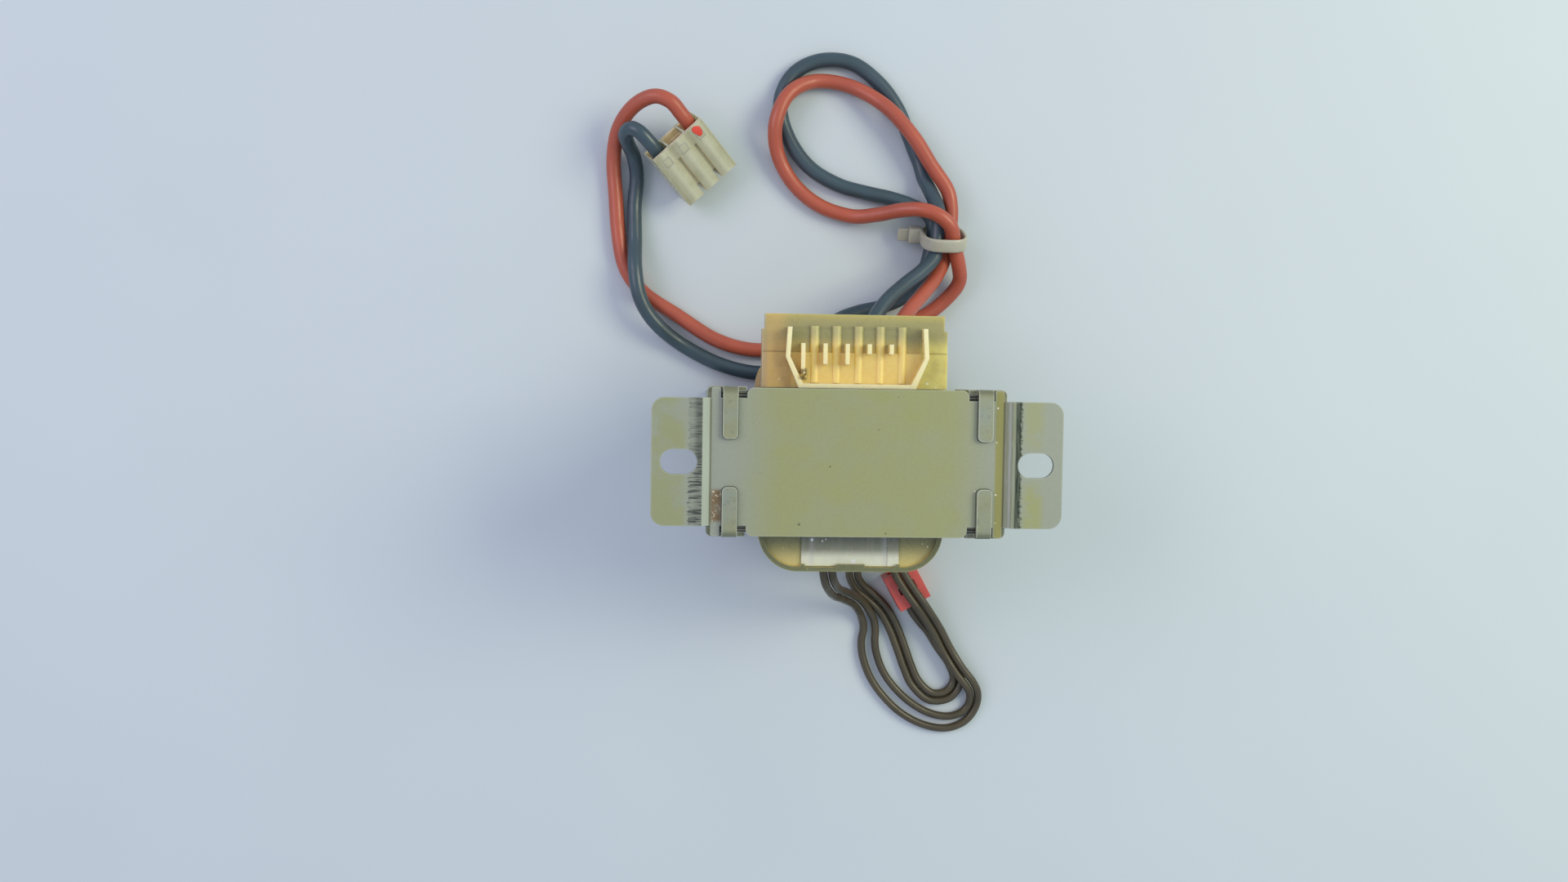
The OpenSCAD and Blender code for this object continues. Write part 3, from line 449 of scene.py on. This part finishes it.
def film_material():
    """Milky polyester film, grey under the plate from painted shade and bright at the rim from a painted
    highlight, with soft folds and painted glints.
    """
    s = Shade("polyester_film")
    # Grey under the plate: painted shade
    colour = s.mix(s.span(s.axes["Y"], -12.6, -16.2), linear((104, 107, 92)), linear((158, 160, 138)))
    # Bright at the rim: painted highlight
    colour = s.over(colour, s.span(s.axes["Y"], -15.2, -17.0), (240, 240, 216))
    streaks = s.span(s.noise(1.1, 2.0, (1.0, 0.12, 0.12)), 0.45, 0.7)
    colour = s.over(colour, s.times(streaks, 0.12), (196, 198, 184))
    folds = s.calc("ADD", s.band("X", -7.0, -6.2, 0.5), s.band("X", 5.6, 6.4, 0.5))
    colour = s.over(colour, s.times(folds, 0.28), (206, 208, 214))
    colour = s.over(colour, s.dots(FILM_GLINTS), (250, 250, 246))
    s.set(Base_Color=colour, Roughness=s.span(s.noise(1.4), 0.3, 0.7, 0.16, 0.3))
    s.set(Subsurface_Weight=0.2, Subsurface_Scale=0.0006)
    s.bump(streaks, 0.02)
    return s.material


def plastic_material(name, rgb, dark, size, roughness, amount=0.4, scatter=0.0):
    """Moulded plastic with clouds of a second colour and a fine bump."""
    s = Shade(name)
    colour = s.mix(s.span(s.noise(size, 4.0), 0.35, 0.75, 0.0, amount), linear(rgb), linear(dark))
    s.set(Base_Color=colour, Roughness=s.span(s.noise(size / 2), 0.3, 0.7, *roughness))
    if scatter:
        s.scatter(scatter)
    s.bump(s.noise(0.25, 2.0), 0.01)
    return s.material


def plug_material():
    """Natural nylon of the plug: a soft crown on each way, painted shade towards the grooves, a painted
    highlight along each crown and a painted amber glow inside.
    """
    s = Shade("plug_nylon")
    across = s.along(turned(0, 1, PLUG_YAW, PLUG_PITCH), in_plug(0, 0))
    up = s.along(turned(0, 0, PLUG_YAW, PLUG_PITCH, 1), in_plug(0, 0))
    way = s.calc("FRACT", s.calc("ADD", s.times(across, 1 / PLUG_STEP), 0.5))
    off_middle = s.calc("ABSOLUTE", s.calc("SUBTRACT", way, 0.5))
    colour = s.mix(s.spots(3.0, 0.35, 0.75), linear((192, 193, 168)), linear((178, 178, 149)))
    # Darker towards the grooves between the ways: painted shade
    colour = s.over(colour, s.times(s.span(off_middle, 0.24, 0.46), 0.5), (146, 143, 112))
    # Lighter along the middle of each way: painted highlight
    colour = s.over(colour, s.times(s.span(off_middle, 0.2, 0.04), 0.5), (206, 208, 186))
    inside = s.span(s.calc("ABSOLUTE", up), PLUG_INSIDE + 0.1, PLUG_INSIDE - 0.1)
    # Lighter and amber inside the plug: a painted glow
    colour = s.over(colour, s.times(inside, s.span(off_middle, 0.41, 0.44), 0.8), (196, 198, 170))
    colour = s.over(colour, s.times(inside, s.span(off_middle, 0.44, 0.41), 0.9), (238, 220, 174))
    s.set(Base_Color=colour, Roughness=s.span(s.noise(1.5), 0.3, 0.7, 0.24, 0.4))
    s.scatter(0.8)
    s.bump(s.calc("ADD", s.span(off_middle, 0.5, 0.0), s.times(s.noise(0.25, 2.0), 0.03)), 0.45)
    return s.material


def tape_material():
    """Glossy yellow polyester tape with the edges of its turns."""
    s = Shade("polyester_tape")
    turn = s.calc("FRACT", s.times(s.axes["Z"], 1 / TAPE_TURN))
    edge = s.span(turn, 0.02, 0.1)
    colour = s.mix(s.span(s.noise(5.0, 3.0), 0.35, 0.7), linear((212, 190, 100)), linear((186, 158, 74)))
    colour = s.over(colour, s.times(edge, 0.25), (226, 208, 130))
    s.set(Base_Color=colour, Roughness=0.22, Coat_Weight=0.4, Coat_Roughness=0.1)
    s.bump(s.calc("ADD", edge, s.times(s.noise(2.0), 0.6)), 0.05)
    return s.material


def metal_material(name, rgb, dark, roughness):
    """Plain bright or enamelled metal with slight stains."""
    s = Shade(name)
    s.set(Base_Color=s.mix(s.span(s.noise(1.2), 0.4, 0.7), linear(rgb), linear(dark)), Metallic=0.9)
    s.set(Roughness=s.span(s.noise(0.6), 0.3, 0.7, *roughness))
    s.bump(s.noise(0.3), 0.01)
    return s.material


def floor_material():
    """Plain pale floor with very faint clouds."""
    s = Shade("pale_floor")
    colour = s.mix(s.noise(60.0, 2.0), linear((195, 206, 213)), linear((199, 211, 217)))
    s.set(Base_Color=colour, Roughness=0.6, Specular_IOR_Level=0.2)
    return s.material


def paint(obj, material):
    obj.data.materials.clear()
    obj.data.materials.append(material)


def add_piece(name, data, material):
    """A piece with that mesh or curve and material, which rides on the root."""
    piece = bpy.data.objects.new(name, data)
    bpy.context.scene.collection.objects.link(piece)
    paint(piece, material)
    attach(piece, "root")
    return piece


def round_edges(piece, width, segments):
    rounding = piece.modifiers.new("rounding", "BEVEL")
    rounding.width = width * MM
    rounding.segments = segments
    return rounding


def dressed(node, bevel, material, segments=2):
    """A copy of a CAD node with rounded edges, which stands for it."""
    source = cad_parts[node].data
    bm = bmesh.new()
    bm.from_mesh(source)
    bmesh.ops.remove_doubles(bm, verts=bm.verts[:], dist=MERGE_DISTANCE * MM)
    flat = math.radians(FLAT_ANGLE)
    bmesh.ops.dissolve_limit(bm, angle_limit=flat, verts=bm.verts[:], edges=bm.edges[:])
    points = [v.co.copy() for v in bm.verts]
    bm.verts.index_update()
    faces = [[v.index for v in f.verts] for f in bm.faces]
    bm.free()
    mesh = bpy.data.meshes.new(node + "_dressed")
    mesh.from_pydata(points, [], faces)
    mesh.shade_smooth()
    mesh.set_sharp_from_angle(angle=math.radians(SHARP_ANGLE))
    piece = add_piece(node + "_dressed", mesh, material)
    rounding = round_edges(piece, bevel, segments)
    rounding.limit_method = "ANGLE"
    rounding.angle_limit = math.radians(SHARP_ANGLE)
    rounding.harden_normals = True
    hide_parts(node)
    return piece


def squircle(angle, half, power):
    """A place on a rounded outline of those half sizes, which is squarer for a higher power."""
    parts = (math.cos(angle), math.sin(angle))
    return tuple(math.copysign(abs(c) ** (2 / power), c) * h for c, h in zip(parts, half))


def tie_ring(bm):
    """The soft ring of the tie, about its own middle, with its hole along y."""
    sections = []
    for i in range(TIE_TURN_POINTS):
        angle = 2 * math.pi * i / TIE_TURN_POINTS
        inner = Vector(squircle(angle, TIE_INNER, TIE_INNER_POWER))
        outer = Vector(squircle(angle, TIE_OUTER, TIE_OUTER_POWER))
        section = []
        for k in range(TIE_SECTION_POINTS):
            turn = 2 * math.pi * k / TIE_SECTION_POINTS
            depth, along = squircle(turn, (0.5, TIE_W / 2), TIE_SECTION_POWER)
            place = inner.lerp(outer, 0.5 + depth)
            section.append(bm.verts.new((place.x, along, place.y)))
        sections.append(section)
    for a, b in zip(sections, sections[1:] + sections[:1]):
        for k in range(TIE_SECTION_POINTS):
            bm.faces.new((a[k], a[k - 1], b[k - 1], b[k]))


def tie_block(bm, middle, size, rounding):
    """A block with rounded edges at that place in the tie."""
    matrix = Matrix.Translation(middle) @ Matrix.Diagonal((*size, 1.0))
    corners = bmesh.ops.create_cube(bm, size=1.0, matrix=matrix)["verts"]
    edges = list({edge for corner in corners for edge in corner.link_edges})
    bmesh.ops.bevel(bm, geom=edges, offset=rounding, segments=3, profile=0.5, affect="EDGES")


def cable_tie(material):
    """The tie's ring, head and tail, which stand for the CAD tie."""
    bm = bmesh.new()
    tie_ring(bm)
    tie_block(bm, *TIE_HEAD)
    tie_block(bm, *TIE_TAIL)
    bmesh.ops.recalc_face_normals(bm, faces=bm.faces[:])
    pose = Matrix.Translation(TIE_AT) @ Matrix.Rotation(math.radians(TIE_TILT), 4, "X")
    bm.transform(Matrix.Scale(MM, 4) @ pose)
    mesh = bpy.data.meshes.new("cable_tie_dressed")
    bm.to_mesh(mesh)
    bm.free()
    mesh.shade_smooth()
    piece = add_piece("cable_tie_dressed", mesh, material)
    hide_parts("cable_tie")
    return piece


def turned(along, across, yaw, pitch, up=0.0):
    """A place in a connector, from its middle, as distances along its axis, across it and up."""
    yaw, pitch = math.radians(yaw), math.radians(pitch)
    flat = along * math.cos(pitch) + up * math.sin(pitch)
    return Vector((flat * math.cos(yaw) - across * math.sin(yaw),
                   flat * math.sin(yaw) + across * math.cos(yaw),
                   up * math.cos(pitch) - along * math.sin(pitch)))


def in_plug(along, across, up=0.0):
    """A place in the white plug, from its middle."""
    pitch = math.radians(PLUG_PITCH)
    middle = Vector((*PLUG_AT, PLUG_L / 2 * math.sin(pitch) + PLUG_H / 2 * math.cos(pitch)))
    return middle + turned(along, across, PLUG_YAW, PLUG_PITCH, up)


def plug_places(across):
    return [in_plug(d - PLUG_L / 2, across) for d in (-LEAD_IN, 0, PLUG_WIRE_L)]


def plug_piece(name, outline, low, high, rounding, material):
    """A small piece on the white plug: an outline in its plane, raised from low to high."""
    bm = bmesh.new()
    rings = [[bm.verts.new(in_plug(a, b, level) * MM) for a, b in outline] for level in (low, high)]
    count = len(outline)
    bm.faces.new(rings[0][::-1])
    bm.faces.new(rings[1])
    for i in range(count):
        j = (i + 1) % count
        bm.faces.new((rings[0][i], rings[0][j], rings[1][j], rings[1][i]))
    bmesh.ops.recalc_face_normals(bm, faces=bm.faces[:])
    mesh = bpy.data.meshes.new(name)
    bm.to_mesh(mesh)
    bm.free()
    mesh.shade_smooth()
    piece = add_piece(name, mesh, material)
    round_edges(piece, rounding, 3)
    return piece


def plug_tongue(way, material):
    """The latch that fills the window of one way."""
    middle = WINDOW_AT - PLUG_L / 2
    half_l, half_w = (size / 2 - TONGUE_GAP for size in WINDOW)
    outline = [(middle + a * half_l, way * PLUG_STEP + b * half_w)
               for a, b in ((-1, -1), (1, -1), (1, 1), (-1, 1))]
    low, high = PLUG_H / 2 - TONGUE_DEPTH, PLUG_H / 2 - TONGUE_DROP
    return plug_piece(f"plug_tongue_{way + 2}", outline, low, high, TONGUE_ROUNDING, material)


def plug_mark(material):
    """The dab of red at the rear edge, over the red lead's way."""
    middle = MARK_AT - PLUG_L / 2
    outline = []
    for i in range(MARK_POINTS):
        angle = 2 * math.pi * i / MARK_POINTS
        reach = 1 + 0.14 * math.sin(2 * angle + 0.6) + 0.1 * math.sin(3 * angle + 1.9)
        outline.append((middle + MARK[0] * reach * math.cos(angle),
                        PLUG_STEP + MARK[1] * reach * math.sin(angle)))
    low, high = PLUG_H / 2 - MARK_H, PLUG_H / 2 + MARK_H
    return plug_piece("plug_mark", outline, low, high, MARK_ROUNDING, material)


def socket_places(across):
    middle = Vector((*SOCKET_AT, SOCKET_H / 2))
    rear = -SOCKET_L / 2
    return [middle + turned(rear + d, across, SOCKET_YAW, 0) for d in (-LEAD_IN, 0, SOCKET_WIRE_L)]


def beside(side):
    """One lead of the brown pair, to the right of the middle line for side = 1, straight out of the coil."""
    points = [Vector(p[:3]) for p in PAIR_ROUTE]
    places = []
    for i, (point, spec) in enumerate(zip(points, PAIR_ROUTE)):
        ahead = points[min(i + 1, len(points) - 1)] - points[max(i - 1, 0)]
        if i < 2:
            ahead = Vector((0, -1, 0))
        right = Vector((ahead.y, -ahead.x, 0)).normalized()
        places.append(point + side * spec[3] * right)
    return places + socket_places(-side * SOCKET_STEP / 2)


def smooth(route):
    """Points of one smooth curve through the route."""
    points = [Vector(p) for p in route]
    points = [2 * points[0] - points[1]] + points + [2 * points[-1] - points[-2]]
    curve = []
    for a, b, c, d in zip(points, points[1:], points[2:], points[3:]):
        for k in range(SPLINE_STEPS):
            u = k / SPLINE_STEPS
            bend = (2 * a - 5 * b + 4 * c - d) * u * u + (3 * b - a - 3 * c + d) * u ** 3
            curve.append(0.5 * (2 * b + (c - a) * u + bend))
    return curve + [points[-2]]


def lead(name, route, diameter, material):
    """A lead along its route, which stands for the CAD tube of that name."""
    points = smooth(route)
    curve = bpy.data.curves.new(name + "_curve", "CURVE")
    curve.dimensions = "3D"
    curve.bevel_depth = diameter / 2 * MM
    curve.bevel_resolution = TUBE_RESOLUTION
    curve.use_fill_caps = True
    spline = curve.splines.new("POLY")
    spline.points.add(len(points) - 1)
    for place, point in zip(spline.points, points):
        place.co = (*(point * MM), 1.0)
    spline.use_smooth = True
    piece = add_piece(name + "_curve", curve, material)
    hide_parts(name)


def add_camera():
    data = bpy.data.cameras.new("camera")
    data.sensor_width = CAMERA_SENSOR
    data.lens = CAMERA_LENS
    data.clip_start = CAMERA_CLIP * MM
    camera = bpy.data.objects.new("camera", data)
    camera.location = Vector(CAMERA_AT) * MM
    camera.rotation_euler = Euler([math.radians(a) for a in CAMERA_TURN], "XYZ")
    bpy.context.scene.collection.objects.link(camera)
    bpy.context.scene.camera = camera


def add_light(name, at, size, power, colour):
    data = bpy.data.lights.new(name, "AREA")
    data.size = size
    data.energy = power
    data.color = colour
    light = bpy.data.objects.new(name, data)
    light.location = at
    light.rotation_euler = (-Vector(at)).to_track_quat("-Z", "Y").to_euler()
    bpy.context.scene.collection.objects.link(light)


def add_studio():
    bpy.context.scene.view_settings.view_transform = "Standard"
    world = bpy.data.worlds.new("soft_room")
    world.use_nodes = True
    background = world.node_tree.nodes["Background"]
    background.inputs["Color"].default_value = ROOM_COLOUR
    background.inputs["Strength"].default_value = ROOM_STRENGTH
    bpy.context.scene.world = world
    for softbox in SOFTBOXES:
        add_light(*softbox)
    bpy.ops.mesh.primitive_plane_add(size=FLOOR_SIZE, location=(0, 0, 0))
    floor = bpy.context.object
    floor.name = "floor"
    paint(floor, floor_material())


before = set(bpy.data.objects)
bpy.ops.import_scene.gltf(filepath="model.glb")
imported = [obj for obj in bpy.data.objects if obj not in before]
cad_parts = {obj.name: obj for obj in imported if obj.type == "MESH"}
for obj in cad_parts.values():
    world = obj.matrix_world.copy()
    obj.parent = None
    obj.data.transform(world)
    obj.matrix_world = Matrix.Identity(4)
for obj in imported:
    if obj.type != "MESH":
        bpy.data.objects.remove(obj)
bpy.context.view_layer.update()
add_camera()
add_studio()

core = core_material()
nylon = plastic_material("natural_nylon", (190, 191, 166), (166, 166, 134),
                         size=3.0, roughness=(0.24, 0.4), amount=0.5, scatter=0.8)
milky_nylon = plastic_material("milky_nylon", (180, 180, 164), (164, 162, 145),
                               size=3.0, roughness=(0.24, 0.4), amount=0.5, scatter=0.4)
red_nylon = plastic_material("red_nylon", (212, 92, 86), (178, 70, 66),
                             size=2.0, roughness=(0.3, 0.45))
red_sleeve = plastic_material("red_sleeve", (178, 88, 66), (158, 77, 59),
                              size=6.0, roughness=(0.3, 0.44), amount=0.6)
blue_sleeve = plastic_material("blue_sleeve", (61, 81, 91), (49, 64, 72),
                               size=6.0, roughness=(0.28, 0.42), amount=0.6)
brown_sleeve = plastic_material("brown_sleeve", (76, 70, 53), (56, 51, 39),
                                size=4.0, roughness=(0.28, 0.42), amount=0.6)
red_paint = plastic_material("red_paint", (226, 78, 58), (200, 60, 46),
                             size=0.6, roughness=(0.2, 0.35))
copper = metal_material("enamelled_copper", (168, 92, 56), (128, 66, 40), (0.25, 0.4))
tinned = metal_material("tinned_brass", (204, 200, 184), (150, 144, 126), (0.25, 0.45))
tape = tape_material()

dressed("channel_bracket", 0.14, bracket_material())
dressed("mounting_plate", 0.16, plate_material())
for name in LAMINATIONS:
    dressed(name, 0.06, core, segments=1)
dressed("bobbin", 0.14, bobbin_material())
dressed("insulation_film", 0.05, film_material())
plug = dressed("plug_housing", 0.3, plug_material())
tie = cable_tie(milky_nylon)
tongues = [plug_tongue(way, nylon) for way in (-1, 0, 1)]
mark = plug_mark(red_paint)
socket = dressed("socket_housing", 0.2, red_nylon)
for name in ("primary_winding", "secondary_winding"):
    paint(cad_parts[name], copper)
for name in ("primary_tape", "secondary_tape"):
    paint(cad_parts[name], tape)
for name in ("plug_contacts", "socket_contacts"):
    paint(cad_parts[name], tinned)

lead("red_lead", RED_ROUTE + plug_places(PLUG_STEP), LEAD_D, red_sleeve)
lead("blue_lead", BLUE_ROUTE + plug_places(-PLUG_STEP), LEAD_D, blue_sleeve)
lead("brown_lead_outer", beside(1), BROWN_D, brown_sleeve)
lead("brown_lead_inner", beside(-1), BROWN_D, brown_sleeve)
